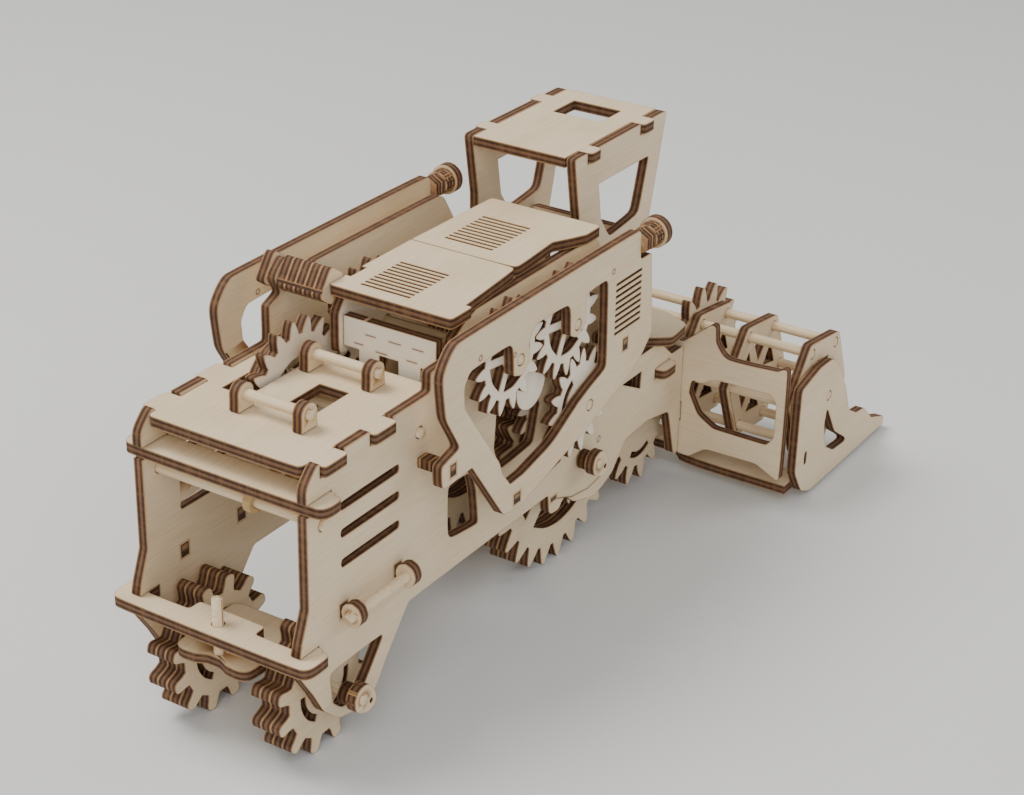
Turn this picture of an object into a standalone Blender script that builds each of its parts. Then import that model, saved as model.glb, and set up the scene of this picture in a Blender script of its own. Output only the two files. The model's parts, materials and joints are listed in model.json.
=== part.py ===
"""A wooden combine harvester cut from plywood sheet, with a working gear train.

Sizes are in millimetres and become metres when a shape is made. X runs forward from the
rear edge of the hood, Y runs to the left and Z up from the ground. The last step moves
everything so that the origin is at the bottom centre of the whole model.
"""

import math

import bmesh
import bpy
from mathutils import Matrix, Vector

MM = 0.001

# Stock
PLY = 3.0  # thickness of the sheet
STICK = 1.5  # radius of the round sticks
FIT = 0.3  # gap between neighbouring pieces
BORE = STICK + 0.3  # hole that a stick passes through
DRUM = 2.4  # radius of the drum that the rubber band pulls

# Widths, from the middle plane
PANEL_OUT = 27.0  # outer face of the long side panels
PANEL_MID = PANEL_OUT - PLY / 2
PANEL_IN = PANEL_OUT - PLY
COVER_MID = PANEL_OUT + 3 * FIT + 2.5 * PLY
GEAR_MID = PANEL_OUT + 2 * FIT + 1.5 * PLY
SPACER_MID = PANEL_OUT + FIT + 0.5 * PLY
INNER_GEAR_MID = PANEL_IN - FIT - 0.5 * PLY
FRONT_WHEEL_WIDE = 3 * PLY
FRONT_WHEEL_MID = PANEL_IN - 2 * FIT - PLY - FRONT_WHEEL_WIDE / 2
REAR_WHEEL_WIDE = 3 * PLY
REAR_WHEEL_MID = 16.8
SHELF_HALF = PANEL_OUT + 4.5
HEADER_OUT = 65.5  # outer face of the header's end plates
HEADER_MID = HEADER_OUT - PLY / 2
CAB_OUT = 18.4
CAB_MID = CAB_OUT - PLY / 2
ENGINE_LEFT = 8.65  # left edge of the engine cover
ENGINE_RIGHT = -(PANEL_OUT + 2.4)
ENGINE_WALL_MID = ENGINE_LEFT - PLY / 2
TRAIN_MID = 12.6  # plane of the winding ring and the gear that it drives

# Heights, from the ground
PANEL_BOTTOM = 30.5
SHELF_LOW_TOP = 36.8
SHELF_UP_TOP = 77.6
DECK_TOP = 86.2
ENGINE_TOP = 105.6
ENGINE_BOTTOM = ENGINE_TOP - PLY
TANK_TOP = 103.2
COVER_TOP = 104.2
CAB_FLOOR_TOP = 57.7
ROOF_TOP = 122.1
FEEDER_TOP = 46.2

# Lengths, from the hood's rear edge
SHELF_UP_REAR = 0.5
SHELF_UP_DEEP = 9.0
SHELF_LOW_REAR = -7.4
SHELF_LOW_DEEP = 10.7
DECK_REAR = 5.2
DECK_FRONT = 55.8
ENGINE_REAR = 56.7
ENGINE_SPLIT = 93.3
ENGINE_FRONT = 131.6
CAB_REAR = 133.0
CAB_FRONT = 184.6
BACK_PLATE = 189.1  # middle of the header's back plates
HEADER_TIP = 259.6

# Gear train
GEAR_MODULE = 1.9
GEAR_TEETH = 15
RING_TEETH = 20
WHEEL_MODULE = 2.5
WHEEL_TEETH = 26
HEADER_GEAR_TEETH = 13
REEL_GEAR_TEETH = 18
TOOTH_TIP = 0.95  # addendum in modules
TOOTH_ROOT = 1.25  # dedendum in modules
PRESSURE = math.radians(25)
BACKLASH = 0.5  # thinning of each tooth at the pitch circle
REAR_TEETH = 12
REAR_RADIUS = 19.0
REAR_TOOTH = 4.6

REAR_AXLE_X = 12.8
PIVOT_X = -2.3
FRONT_AXLE_X = 127.3
ANGLE_TO_C = math.radians(117.4)
ANGLE_TO_B = math.radians(106.1)
ANGLE_TO_A = math.radians(178.5)
ANGLE_TO_RING = math.radians(198.5)
ANGLE_TO_HEADER_GEAR = math.radians(-14.1)
ANGLE_TO_REEL = math.radians(12.1)
REEL_ROD_CIRCLE = 16.8
REEL_STAR = 20.6
REEL_TURN = math.radians(52.5)
REEL_GAP = 0.8  # between the outer stars and the end plates
STAR_INNER = FRONT_WHEEL_MID + 2 * PLY + FIT
STAR_OUTER = HEADER_OUT - 1.5 * PLY - REEL_GAP
STAR_MIDDLE = STAR_INNER + 0.437 * (STAR_OUTER - STAR_INNER)
STAR_PLACES = {"inner": STAR_INNER, "middle": STAR_MIDDLE, "outer": STAR_OUTER}

BIRCH = (0.79, 0.69, 0.52, 1.0)
STICK_WOOD = (0.85, 0.74, 0.55, 1.0)
RUBBER = (0.55, 0.40, 0.22, 1.0)

MODEL = bpy.data.collections.new("wooden_harvester")
CUTTERS = bpy.data.collections.new("helpers")


# ---------------------------------------------------------------- outlines


def rounded(points, steps=2):
    """An outline with each corner (u, v, radius) turned into an arc; (u, v) stays sharp."""
    outline = []
    count = len(points)
    for index, point in enumerate(points):
        corner = Vector(point[:2])
        radius = point[2] if len(point) > 2 else 0
        before = Vector(points[index - 1][:2]) - corner
        after = Vector(points[(index + 1) % count][:2]) - corner
        half = before.angle(after) / 2
        if not radius or half > math.radians(89):
            outline.append(tuple(corner))
            continue
        reach = min(radius / math.tan(half), 0.48 * before.length, 0.48 * after.length)
        radius = reach * math.tan(half)
        middle = corner + (before.normalized() + after.normalized()).normalized() * (
            radius / math.sin(half)
        )
        start = corner + before.normalized() * reach - middle
        end = corner + after.normalized() * reach - middle
        sweep = start.angle_signed(end)
        for step in range(steps + 1):
            turn = Matrix.Rotation(-sweep * step / steps, 2)
            outline.append(tuple(middle + turn @ start))
    return outline


def box(left, bottom, right, top, radius=0.0):
    corners = [(left, bottom), (right, bottom), (right, top), (left, top)]
    return rounded([corner + (radius,) for corner in corners])


def circle(u, v, radius, sides=10):
    turns = [2 * math.pi * (side + 0.5) / sides for side in range(sides)]
    return [(u + radius * math.cos(a), v + radius * math.sin(a)) for a in turns]


def sector(inner, outer, start, end, steps=4):
    """A window between two radii, from one angle to another, in radians."""
    turns = [start + (end - start) * step / steps for step in range(steps + 1)]
    far = [(outer * math.cos(a), outer * math.sin(a)) for a in turns]
    near = [(inner * math.cos(a), inner * math.sin(a)) for a in reversed(turns)]
    return far + near


def windows(count, inner, outer, spoke, turn=0.0, steps=4):
    """Equal windows round a hub, with parallel-sided spokes between them."""
    found = []
    for index in range(count):
        start = turn + 2 * math.pi * index / count
        end = start + 2 * math.pi / count
        wide = [(outer, start, 1), (outer, end, -1)]
        narrow = [(inner, end, -1), (inner, start, 1)]
        spans = [a + side * math.asin(spoke / 2 / r) for r, a, side in wide + narrow]
        outline = []
        for step in range(steps + 1):
            angle = spans[0] + (spans[1] - spans[0]) * step / steps
            outline.append((outer * math.cos(angle), outer * math.sin(angle)))
        for angle in spans[2:]:
            outline.append((inner * math.cos(angle), inner * math.sin(angle)))
        found.append(outline)
    return found


def involute(angle):
    return math.tan(angle) - angle


def tooth_half_angle(radius, teeth, module):
    """Half of a tooth's angle at a radius, on involute flanks."""
    pitch = teeth * module / 2
    base = pitch * math.cos(PRESSURE)
    at_pitch = math.pi / 2 / teeth - BACKLASH / 2 / pitch
    here = math.acos(min(1.0, base / radius))
    return at_pitch + involute(PRESSURE) - involute(here)


def gear_outline(teeth, module, phase):
    """A spur gear with a tooth centred on the phase angle."""
    pitch = teeth * module / 2
    tip = pitch + TOOTH_TIP * module
    root = pitch - TOOTH_ROOT * module
    levels = [root, pitch - 0.45 * module, pitch + 0.35 * module, tip - 0.12 * module]
    outline = []
    for tooth in range(teeth):
        centre = phase + 2 * math.pi * tooth / teeth
        halves = [tooth_half_angle(radius, teeth, module) for radius in levels]
        halves[0] += 0.18 * module / pitch
        side = list(zip(levels, halves)) + [(tip, halves[-1] * 0.55)]
        for radius, half in side:
            outline.append((radius, centre - half))
        for radius, half in reversed(side):
            outline.append((radius, centre + half))
    return [(r * math.cos(a), r * math.sin(a)) for r, a in outline]


def finger_outline(teeth, tip, tooth, phase):
    """A wheel tread with long round-ended teeth."""
    outline = []
    root = tip - tooth
    pitch = 2 * math.pi / teeth
    profile = [
        (root, -0.30), (root + 0.35 * tooth, -0.22), (tip - 0.2 * tooth, -0.19), (tip, -0.10),
    ]
    for index in range(teeth):
        centre = phase + pitch * index
        for radius, share in profile:
            outline.append((radius, centre + share * pitch))
        for radius, share in reversed(profile):
            outline.append((radius, centre - share * pitch))
    return [(r * math.cos(a), r * math.sin(a)) for r, a in outline]


def meshed_phase(angle, own_phase, own_teeth, next_teeth):
    """The phase that puts a gap of the next gear on a tooth of this one."""
    lead = own_phase - angle
    return angle + math.pi + math.pi / next_teeth - lead * own_teeth / next_teeth


def step_from(place, distance, angle):
    return (place[0] + distance * math.cos(angle), place[1] + distance * math.sin(angle))


# ---------------------------------------------------------------- objects


def finish(obj, colour=BIRCH):
    """Gives the object its own material and puts it in the model's collection."""
    material = bpy.data.materials.new(obj.name)
    material.use_nodes = True
    shader = material.node_tree.nodes["Principled BSDF"]
    shader.inputs["Base Color"].default_value = colour
    shader.inputs["Roughness"].default_value = 0.7
    shader.inputs["Metallic"].default_value = 0.0
    obj.data.materials.clear()
    obj.data.materials.append(material)
    MODEL.objects.link(obj)
    return obj


TURNS = {
    "XY": Matrix.Identity(3),
    "XZ": Matrix(((1, 0, 0), (0, 0, -1), (0, 1, 0))),
    "YZ": Matrix(((0, 0, 1), (1, 0, 0), (0, 1, 0))),
}


def place_in(plane, u, v, level):
    """World position of plane coordinates, in metres."""
    spots = {"XY": (u, v, level), "XZ": (u, level, v), "YZ": (level, u, v)}
    return Vector(spots[plane]) * MM


def sheet(name, plane, level, outline, holes=(), centre=(0.0, 0.0), thick=PLY):
    """A flat piece in a plane, as a filled 2D curve; outline and holes are about its centre."""
    curve = bpy.data.curves.new(name, "CURVE")
    curve.dimensions = "2D"
    curve.fill_mode = "BOTH"
    curve.extrude = thick / 2 * MM
    for ring in [outline, *holes]:
        spline = curve.splines.new("POLY")
        spline.points.add(len(ring) - 1)
        for point, (u, v) in zip(spline.points, ring):
            point.co = (u * MM, v * MM, 0, 1)
        spline.use_cyclic_u = True
    obj = bpy.data.objects.new(name, curve)
    obj.matrix_world = Matrix.LocRotScale(place_in(plane, *centre, level), TURNS[plane], None)
    return obj


def plate(name, plane, level, outline, holes=(), centre=(0.0, 0.0), thick=PLY):
    return finish(sheet(name, plane, level, outline, holes, centre, thick))


def stick(name, start, end, radius=STICK, sides=10):
    """A round stick between two points."""
    start, end = Vector(start) * MM, Vector(end) * MM
    mesh = bpy.data.meshes.new(name)
    shape = bmesh.new()
    bmesh.ops.create_cone(
        shape, cap_ends=True, segments=sides, radius1=radius * MM, radius2=radius * MM,
        depth=(end - start).length,
    )
    shape.to_mesh(mesh)
    shape.free()
    mesh.shade_smooth()
    mesh.set_sharp_from_angle(angle=math.radians(40))
    obj = bpy.data.objects.new(name, mesh)
    turn = (end - start).to_track_quat("Z", "Y")
    obj.matrix_world = Matrix.LocRotScale((start + end) / 2, turn, None)
    return obj


def as_mesh(obj):
    """A closed mesh object in place of a curve object."""
    if obj.type == "MESH":
        return obj
    bpy.context.scene.collection.objects.link(obj)
    bpy.context.view_layer.update()
    seen = obj.evaluated_get(bpy.context.evaluated_depsgraph_get())
    mesh = bpy.data.meshes.new_from_object(seen)
    shape = bmesh.new()
    shape.from_mesh(mesh)
    bmesh.ops.remove_doubles(shape, verts=shape.verts, dist=0.00001)
    bmesh.ops.recalc_face_normals(shape, faces=shape.faces)
    shape.to_mesh(mesh)
    shape.free()
    name, place = obj.name, obj.matrix_world.copy()
    bpy.data.objects.remove(obj)
    solid = bpy.data.objects.new(name, mesh)
    solid.matrix_world = place
    return solid


def joined(name, pieces, colour=BIRCH):
    """One glued piece from several overlapping ones."""
    solids = [as_mesh(piece) for piece in pieces]
    body = solids[0]
    body.name = name
    for other in solids[1:]:
        CUTTERS.objects.link(other)
        other.hide_render = True
        other.display_type = "WIRE"
        other.name = name + "_add"
        union = body.modifiers.new("union", "BOOLEAN")
        union.operation = "UNION"
        union.solver = "EXACT"
        union.object = other
    return finish(body, colour)


def both_sides(make, *args):
    """Makes the right piece, at negative Y, and its mirror on the left."""
    return [make("right", -1, *args), make("left", 1, *args)]


# ---------------------------------------------------------------- gear places

WHEEL_PHASE = -math.pi / 2  # a tooth stands straight down
WHEEL_OUTLINE = gear_outline(WHEEL_TEETH, WHEEL_MODULE, WHEEL_PHASE)
FRONT_AXLE = (FRONT_AXLE_X, -min(v for _, v in WHEEL_OUTLINE))
REAR_PHASE = -math.pi / 2 + math.pi / REAR_TEETH
REAR_OUTLINE = finger_outline(REAR_TEETH, REAR_RADIUS, REAR_TOOTH, REAR_PHASE)
REAR_AXLE = (REAR_AXLE_X, -min(v for _, v in REAR_OUTLINE))

GEAR_STEP = GEAR_TEETH * GEAR_MODULE
GEAR_C = step_from(FRONT_AXLE, GEAR_STEP, ANGLE_TO_C)
GEAR_B = step_from(GEAR_C, GEAR_STEP, ANGLE_TO_B)
GEAR_A = step_from(GEAR_B, GEAR_STEP, ANGLE_TO_A)
RING_STEP = (GEAR_TEETH + RING_TEETH) * GEAR_MODULE / 2
RING = step_from(GEAR_A, RING_STEP, ANGLE_TO_RING)
HEADER_STEP = (WHEEL_TEETH + HEADER_GEAR_TEETH) * WHEEL_MODULE / 2
HEADER_GEAR = step_from(FRONT_AXLE, HEADER_STEP, ANGLE_TO_HEADER_GEAR)
REEL_STEP = (HEADER_GEAR_TEETH + REEL_GEAR_TEETH) * WHEEL_MODULE / 2
REEL = step_from(HEADER_GEAR, REEL_STEP, ANGLE_TO_REEL)
LEVER = (58.4, 104.3)
BAND_BAR = (6.0, 70.0)

AXLE_PHASE = 0.1
C_PHASE = meshed_phase(ANGLE_TO_C, AXLE_PHASE, GEAR_TEETH, GEAR_TEETH)
B_PHASE = meshed_phase(ANGLE_TO_B, C_PHASE, GEAR_TEETH, GEAR_TEETH)
A_PHASE = meshed_phase(ANGLE_TO_A, B_PHASE, GEAR_TEETH, GEAR_TEETH)
RING_PHASE = meshed_phase(ANGLE_TO_RING, A_PHASE, GEAR_TEETH, RING_TEETH)
HEADER_PHASE = meshed_phase(
    ANGLE_TO_HEADER_GEAR, WHEEL_PHASE, WHEEL_TEETH, HEADER_GEAR_TEETH
)
REEL_PHASE = meshed_phase(ANGLE_TO_REEL, HEADER_PHASE, HEADER_GEAR_TEETH, REEL_GEAR_TEETH)


# ---------------------------------------------------------------- chassis


def panel_outline(tank_top, left):
    """The long side panel, from the hood at the rear to the header arm in front.

    The left one also carries the starting lever and the header gear's stick.
    """
    leg_front = BACK_PLATE - PLY / 2 - FIT
    feeder_low = FEEDER_TOP + 1.2
    cab_rest = CAB_FLOOR_TOP - PLY - FIT
    rear = [
        (0.9, 24.0, 3), (5.0, 16.8, 4), (11.0, 11.4, 4), (20.0, 9.6, 4),
        (26.4, 11.4, 4), (30.6, 17.4, 3), (41.5, PANEL_BOTTOM, 2),
    ]
    belly = [
        (110.0, PANEL_BOTTOM, 1), (110.6, 23.6, 2), (116.0, 23.2, 2), (118.6, 26.6, 2),
        (124.0, 22.0, 4), (136.0, 18.2, 9), (146.0, 21.5, 8), (153.0, 29.5, 4),
    ]
    if left:
        under_arm = [(167.0, PANEL_BOTTOM, 3), (169.0, 19.0, 4), (180.0, 17.6, 3)]
    else:
        under_arm = [(166.0, PANEL_BOTTOM, 3), (180.0, 28.0, 3)]
    arm = [
        (184.6, 11.5, 2), (leg_front, 10.0, 1), (leg_front, 22.1),
        (193.4, 22.1, 2.4), (193.4, 27.9, 2.4), (leg_front, 27.9),
        (leg_front, feeder_low, 1), (180.0, feeder_low, 2), (172.0, cab_rest, 3),
        (154.0, cab_rest, 4), (146.0, 62.0, 5), (140.0, 78.0, 8), (138.0, 92.0, 5),
        (131.0, tank_top, 4),
    ]
    top = [(71.6, tank_top, 2), (66.6, min(100.6, tank_top - 0.8), 1)]
    ear = []
    if left:
        ear = [(63.2, 98.5, 1), (62.6, 104.2, 2), (59.2, 109.6, 2), (53.4, 104.0, 2), (56.6, 99.2, 1)]
    step = [
        (61.3, 97.4, 1), (61.3, 92.4, 1), (51.3, 92.4, 1), (51.3, DECK_TOP + 0.6, 1),
    ]
    if left:
        step = [(51.3, 97.0, 1), (51.3, DECK_TOP + 0.6, 1)]
    hood = [
        (4.4, DECK_TOP + 0.6, 3), (0.0, DECK_TOP - 4.0, 4), (0.0, SHELF_LOW_TOP + 12.0, 2),
        (-3.0, SHELF_LOW_TOP + 4.0, 3), (-5.0, SHELF_LOW_TOP - 4.0, 3),
    ]
    return rounded(rear + belly + under_arm + arm + top + ear + step + hood)


def panel_holes(side):
    holes = [
        circle(*FRONT_AXLE, BORE), circle(*GEAR_C, BORE), circle(*GEAR_B, BORE),
        circle(*GEAR_A, BORE), circle(*RING, BORE), circle(*BAND_BAR, BORE),
    ]
    if side == "left":
        holes += [circle(*LEVER, BORE), circle(*HEADER_GEAR, BORE)]
    for height in (71.6, 64.0, 55.6):
        holes.append(rounded([
            (13.0, height - 1.3, 1.0), (37.5, height - 1.3, 1.0),
            (37.5, height + 1.3, 1.0), (13.0, height + 1.3, 1.0),
        ]))
    holes.append(rounded([
        (7.4, 26.8, 1.5), (31.0, 26.8, 1), (24.4, 18.6, 1.5),
        (20.6, 14.4, 3), (12.4, 13.8, 3), (8.6, 17.4, 2),
    ]))
    holes.append(rounded([
        (59.2, 56.8, 2), (70.6, 55.8, 2), (72.6, 49.0, 1), (74.0, 38.4, 1), (59.2, 40.2, 3),
    ]))
    holes.append(rounded([
        (81.0, 58.0, 2), (82.4, 73.0, 2), (99.0, 73.0, 2), (104.0, 62.0, 2), (101.0, 51.2, 2),
        (84.0, 50.0, 3),
    ]))
    holes.append(rounded([(102.0, 45.0), (116.4, 46.0), (116.0, 38.8), (107.6, 37.6)]))
    holes.append(rounded([(121.8, 48.0), (136.6, 48.0), (130.8, 42.8), (124.4, 40.0)]))
    holes.append(rounded([(150.0, 49.0), (161.4, 49.0), (161.0, 43.4)]))
    return holes


def cut_boxes(obj, boxes):
    """Cuts box-shaped notches, each given by its low and high corner."""
    body = as_mesh(obj)
    for low, high in boxes:
        mesh = bpy.data.meshes.new(body.name + "_notch")
        shape = bmesh.new()
        bmesh.ops.create_cube(shape, size=1.0)
        size = Vector(high) - Vector(low)
        bmesh.ops.scale(shape, vec=size * MM, verts=shape.verts)
        shape.to_mesh(mesh)
        shape.free()
        cutter = bpy.data.objects.new(mesh.name, mesh)
        cutter.location = (Vector(low) + Vector(high)) / 2 * MM
        cutter.hide_render = True
        cutter.display_type = "WIRE"
        CUTTERS.objects.link(cutter)
        cut = body.modifiers.new("notch", "BOOLEAN")
        cut.operation = "DIFFERENCE"
        cut.solver = "EXACT"
        cut.object = cutter
    return body


def through(low_u, high_u, low_v, high_v):
    """A notch through both side panels, in the XZ plane."""
    wide = PANEL_OUT + 5
    return ((low_u, -wide, low_v), (high_u, wide, high_v))


DECK_TABS = [(5.6, 14.8), (25.6, 35.0)]
FEEDER_TABS = (170.0, 178.6)


def make_panel(side, sign):
    left = sign > 0
    top = TANK_TOP if left else ENGINE_BOTTOM - FIT
    outline = panel_outline(top, left)
    flat = sheet("side_panel_" + side, "XZ", sign * PANEL_MID, outline, panel_holes(side))
    notches = [
        through(-20, SHELF_UP_REAR + SHELF_UP_DEEP + FIT, SHELF_UP_TOP - PLY - FIT, SHELF_UP_TOP + FIT),
        through(-20, SHELF_LOW_REAR + SHELF_LOW_DEEP + FIT, SHELF_LOW_TOP - PLY - FIT, SHELF_LOW_TOP + FIT),
        through(FEEDER_TABS[0] - FIT, FEEDER_TABS[1] + FIT, FEEDER_TOP - PLY - FIT, FEEDER_TOP + FIT),
    ]
    for low, high in DECK_TABS:
        notches.append(through(low - FIT, high + FIT, DECK_TOP - PLY - FIT, DECK_TOP + 5))
    return finish(cut_boxes(flat, notches))


def make_shelves():
    def shelf(rear, deep, neck, notch=((), ())):
        """Rounded rear corners stand out past the panels; the front edge fits between them."""
        outline = [
            (rear, -SHELF_HALF, 3), (rear + neck, -SHELF_HALF, 1.5), (rear + neck, -PANEL_OUT - 1.5, 0.5),
            (rear + deep, -PANEL_OUT - 1.5, 0.5), *notch[0], *notch[1], (rear + deep, PANEL_OUT + 1.5, 0.5),
            (rear + neck, PANEL_OUT + 1.5, 0.5), (rear + neck, SHELF_HALF, 1.5), (rear, SHELF_HALF, 3),
        ]
        return outline

    upper = shelf(SHELF_UP_REAR, SHELF_UP_DEEP, SHELF_UP_DEEP - 1.0)
    plate("shelf_upper", "XY", SHELF_UP_TOP - PLY / 2, rounded(upper))
    edge = SHELF_LOW_REAR + SHELF_LOW_DEEP
    inner = REAR_WHEEL_MID - REAR_WHEEL_WIDE / 2 - 1.8
    outer = PANEL_IN + FIT
    well = [(edge, -outer), (-1.0, -outer, 1), (-1.0, -inner, 1), (edge, -inner, 1)]
    mirrored = [(u, -v, *rest) for u, v, *rest in reversed(well)]
    lower = shelf(SHELF_LOW_REAR, SHELF_LOW_DEEP, SHELF_LOW_DEEP - 1.0, (well, mirrored))
    plate(
        "shelf_lower", "XY", SHELF_LOW_TOP - PLY / 2, rounded(lower),
        [circle(PIVOT_X, 0, BORE)],
    )


def make_deck():
    inside = PANEL_IN - FIT
    tab_out = PANEL_OUT + 1.5
    right = []
    for low, high in DECK_TABS:
        right += [(low, -inside), (low, -tab_out, 1), (high, -tab_out, 1), (high, -inside)]
    left = [(u, -v, *rest) for u, v, *rest in reversed(right)]
    slot = (RING[0] - 21.8, TRAIN_MID - PLY / 2 - 1, TRAIN_MID + 1.5 * PLY + FIT + 1)
    outline = [
        (DECK_REAR - 3.0, -inside, 2), *right, (DECK_FRONT, -inside),
        (DECK_FRONT, slot[1]), (slot[0], slot[1]), (slot[0], slot[2]), (DECK_FRONT, slot[2]),
        (DECK_FRONT, inside), *left, (DECK_REAR - 3.0, inside, 2),
    ]
    hatch = box(22.8, -9.6, 40.4, -0.4)
    return plate("deck_plate", "XY", DECK_TOP - PLY / 2, rounded(outline), [hatch])


def ear_profile(radius, foot):
    """A round ear standing on a foot, about the stick's axis."""
    arc = [math.radians(-20 + 220 * step / 6) for step in range(7)]
    return [(radius * math.cos(a), radius * math.sin(a)) for a in arc] + [(-radius, -foot), (radius, -foot)]


def make_deck_grip(name, u, low, high):
    """A stick held by two ears on the deck."""
    centre = (u, DECK_TOP + FIT + 4.2)
    pieces = [stick(name, (u, low - 2.6, centre[1]), (u, high + 2.6, centre[1]))]
    for level in (low, high):
        pieces.append(sheet(name + "_ear", "XZ", level, ear_profile(3.1, 4.2), centre=centre))
    joined(name, pieces)


def make_handrail(side, sign):
    """A stick held by two ears on the side of the hood."""
    height = 42.3
    foot = sign * (PANEL_OUT + FIT + 2.4)
    level = sign * (PANEL_OUT + 3.6)
    pieces = [stick("handrail", (11.0, level, height), (39.6, level, height))]
    for u in (13.8, 36.8):
        outline = box(PANEL_OUT + FIT, height - 3.4, PANEL_OUT + 6.4, height + 3.4, 2.8)
        if sign < 0:
            outline = [(-y, z) for y, z in reversed(outline)]
        pieces.append(sheet("handrail_ear", "YZ", u, outline))
    return joined("handrail_" + side, pieces)


def make_band():
    """The rubber motor: a bar across the hood and the band that pulls the ring's drum."""
    x, z = BAND_BAR
    reach = PANEL_OUT + 1.0
    finish(stick("band_bar", (x, -reach, z), (x, reach, z)), STICK_WOOD)
    start, end = Vector(BAND_BAR), Vector(RING)
    along = (end - start).normalized()
    side = Vector((-along.y, along.x))

    def loop(radius_start, radius_end):
        ring = []
        for middle, radius, first in ((start, radius_start, 1), (end, radius_end, -1)):
            for step in range(7):
                turn = math.pi * step / 6
                ring.append(tuple(
                    middle + side * radius * first * math.cos(turn) - along * radius * first * math.sin(turn)
                ))
        return ring

    inner = loop(STICK + FIT, DRUM + FIT)
    outer = loop(STICK + FIT + 1.3, DRUM + FIT + 1.3)
    band = plate("rubber_band", "XZ", -6.0, outer, [inner], thick=2.4)
    band.data.materials[0].node_tree.nodes["Principled BSDF"].inputs["Base Color"].default_value = RUBBER



# ---------------------------------------------------------------- engine housing


def make_engine():
    wall_top = ENGINE_BOTTOM - FIT
    inside = PANEL_IN - FIT
    rear = ENGINE_REAR + 1.6
    left = ENGINE_WALL_MID - PLY / 2 - FIT
    low = DECK_TOP + 2.4
    outline = [
        (-inside, low), (-19.0, low), (-19.0, low - 4.6), (-12.0, low - 4.6), (-12.0, low),
        (-6.0, low), (-6.0, low - 4.6), (0.5, low - 4.6), (0.5, low), (left, low),
        (left, wall_top - 5.2), (-inside, wall_top - 5.2),
    ]
    plate("engine_wall_rear", "YZ", rear + PLY / 2, rounded(outline))
    side = [
        (ENGINE_REAR, low - 2.6, 2), (ENGINE_FRONT - 3, low - 2.6, 2),
        (ENGINE_FRONT - 3, wall_top, 2), (ENGINE_REAR + 3.4, wall_top, 1), (ENGINE_REAR, wall_top - 4.5, 3),
    ]
    plate(
        "engine_wall_left", "XZ", ENGINE_WALL_MID, rounded(side),
        [circle(*GEAR_A, BORE)],
    )
    rear_cover = [
        (ENGINE_REAR, ENGINE_RIGHT, 1), (66.0, ENGINE_RIGHT, 0.5), (66.0, ENGINE_RIGHT + 2.0),
        (ENGINE_SPLIT, ENGINE_RIGHT + 4.4, 2), (ENGINE_SPLIT, ENGINE_LEFT), (71.0, ENGINE_LEFT),
        (71.0, ENGINE_LEFT - 1.6), (64.0, ENGINE_LEFT - 1.6),
        (64.0, ENGINE_LEFT), (ENGINE_REAR, ENGINE_LEFT, 1),
    ]
    make_cover("engine_cover_rear", rear_cover, 61.7, 79.0)
    front = ENGINE_SPLIT + FIT
    front_cover = [
        (front, ENGINE_RIGHT + 4.4, 2), (114.0, ENGINE_RIGHT + 6.0, 2), (119.0, ENGINE_RIGHT + 3.4, 2),
        (124.0, ENGINE_RIGHT + 1.2, 1), (ENGINE_FRONT, ENGINE_RIGHT + 1.2, 1),
        (ENGINE_FRONT, ENGINE_LEFT - 0.8, 1), (front, ENGINE_LEFT),
    ]
    make_cover("engine_cover_front", front_cover, 100.0, 118.3)


def make_cover(name, outline, first, last):
    """One half of the engine cover, with a grille of slots across it."""
    slots = []
    count = 10
    for index in range(count):
        u = first + (last - first) * index / (count - 1)
        slots.append(box(u - 0.45, -13.4, u + 0.45, 2.0))
    plate(name, "XY", ENGINE_TOP - PLY / 2, rounded(outline), slots)


# ---------------------------------------------------------------- side covers


def cover_outline():
    return rounded([
        (42.2, 65.8, 1.5), (55.6, 66.6, 1), (71.0, 45.4, 2), (80.0, 44.8, 3),
        (110.6, 52.8, 20), (127.5, 58.1, 20), (140.3, 62.6, 6), (148.0, 69.6, 3),
        (LAMP_X[0] + 6.2, LAMP_Z - 4.6, 1), (LAMP_X[0] - FIT, LAMP_Z - 4.6, 1),
        (LAMP_X[0] - FIT, COVER_TOP, 2),
        (47.6, COVER_TOP, 6), (41.8, 97.6, 6), (43.6, 85.0, 8), (50.2, 74.6, 1), (41.8, 72.6, 1.5),
    ])


LAMP_X = (139.5, 145.5, 148.5, 151.5)
LAMP_Z = 99.6


def cover_holes():
    window = rounded([
        (51.4, 90.6, 3), (51.9, 84.8, 3), (68.4, 62.4, 1), (69.9, 58.5, 1), (73.9, 53.4, 1),
        (80.6, 53.7, 3), (94.7, 56.6, 20), (108.4, 63.6, 2), (114.0, 65.7, 2), (122.6, 68.4, 2),
        (121.8, 95.6, 2.2), (109.9, 95.2, 2), (110.6, 86.6, 2), (105.4, 84.0, 2), (102.6, 85.6, 0.5),
        (102.2, 95.5, 3), (84.0, 95.9, 3), (81.4, 91.4, 3), (82.4, 86.4, 2), (79.2, 83.4, 2),
        (74.6, 84.8, 0.5), (74.0, 94.9, 3), (54.0, 94.4, 3),
    ])
    vents = [box(126.2, 77.0 + 1.86 * n - 0.4, 140.4, 77.0 + 1.86 * n + 0.4) for n in range(9)]
    pins = [circle(*gear, BORE) for gear in (GEAR_A, GEAR_B, GEAR_C)]
    return [window, *vents, *pins]


COVER_POSTS = [(47.0, 69.7), (77.5, 47.7), (132.7, 71.7)]


def make_side_cover(side, sign):
    """The cover plate with the three blocks that hold it off the side panel."""
    flat = sheet("cover", "XZ", sign * COVER_MID, cover_outline(), cover_holes())
    pieces = [flat]
    inner = PANEL_OUT + FIT
    outer = COVER_MID
    for u, v in COVER_POSTS:
        middle = sign * (inner + outer) / 2
        outline = box(u - 1.9, v - 1.4, u + 1.9, v + 1.4)
        pieces.append(sheet("post", "XZ", middle, outline, thick=outer - inner))
    return joined("side_cover_" + side, pieces)


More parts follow.
